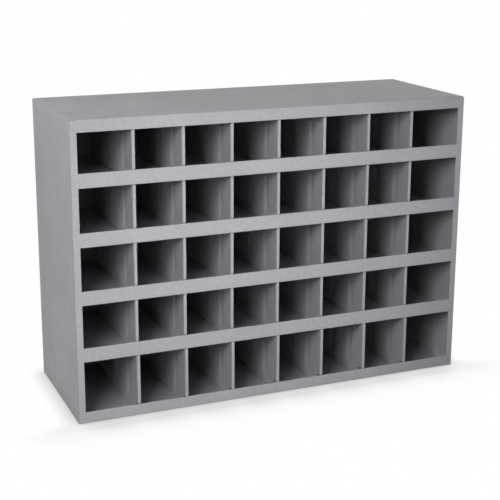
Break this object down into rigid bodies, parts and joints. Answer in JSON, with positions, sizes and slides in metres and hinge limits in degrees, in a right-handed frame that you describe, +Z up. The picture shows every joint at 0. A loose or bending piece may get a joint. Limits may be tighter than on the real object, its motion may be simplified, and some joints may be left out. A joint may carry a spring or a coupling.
{
  "type": "pigeonhole mail sorter",
  "caption": "Welded steel pigeonhole mail sorter: a grey enamelled case with an open front, lipped shelves and upright dividers.",
  "frame": {"origin": "middle of the base, on the surface that the unit stands on", "axes": "+Z up; the open front faces -Y; +X is to the right as seen from the front"},
  "size_m": [0.8572, 0.3048, 0.6064],
  "materials": {
    "grey_enamel": "baked enamel on sheet steel, satin, with a fine orange peel"
  },
  "bodies": {
    "root": {"top_panel": "grey_enamel", "bottom_panel": "grey_enamel", "left_side": "grey_enamel", "right_side": "grey_enamel", "back_panel": "grey_enamel", "shelf_1": "grey_enamel", "shelf_2": "grey_enamel", "shelf_3": "grey_enamel", "shelf_4": "grey_enamel", "divider_r1_c1": "grey_enamel", "divider_r1_c2": "grey_enamel", "divider_r1_c3": "grey_enamel", "divider_r1_c4": "grey_enamel", "divider_r1_c5": "grey_enamel", "divider_r1_c6": "grey_enamel", "divider_r1_c7": "grey_enamel", "divider_r2_c1": "grey_enamel", "divider_r2_c2": "grey_enamel", "divider_r2_c3": "grey_enamel", "divider_r2_c4": "grey_enamel", "divider_r2_c5": "grey_enamel", "divider_r2_c6": "grey_enamel", "divider_r2_c7": "grey_enamel", "divider_r3_c1": "grey_enamel", "divider_r3_c2": "grey_enamel", "divider_r3_c3": "grey_enamel", "divider_r3_c4": "grey_enamel", "divider_r3_c5": "grey_enamel", "divider_r3_c6": "grey_enamel", "divider_r3_c7": "grey_enamel", "divider_r4_c1": "grey_enamel", "divider_r4_c2": "grey_enamel", "divider_r4_c3": "grey_enamel", "divider_r4_c4": "grey_enamel", "divider_r4_c5": "grey_enamel", "divider_r4_c6": "grey_enamel", "divider_r4_c7": "grey_enamel", "divider_r5_c1": "grey_enamel", "divider_r5_c2": "grey_enamel", "divider_r5_c3": "grey_enamel", "divider_r5_c4": "grey_enamel", "divider_r5_c5": "grey_enamel", "divider_r5_c6": "grey_enamel", "divider_r5_c7": "grey_enamel"}
  },
  "joints": []
}
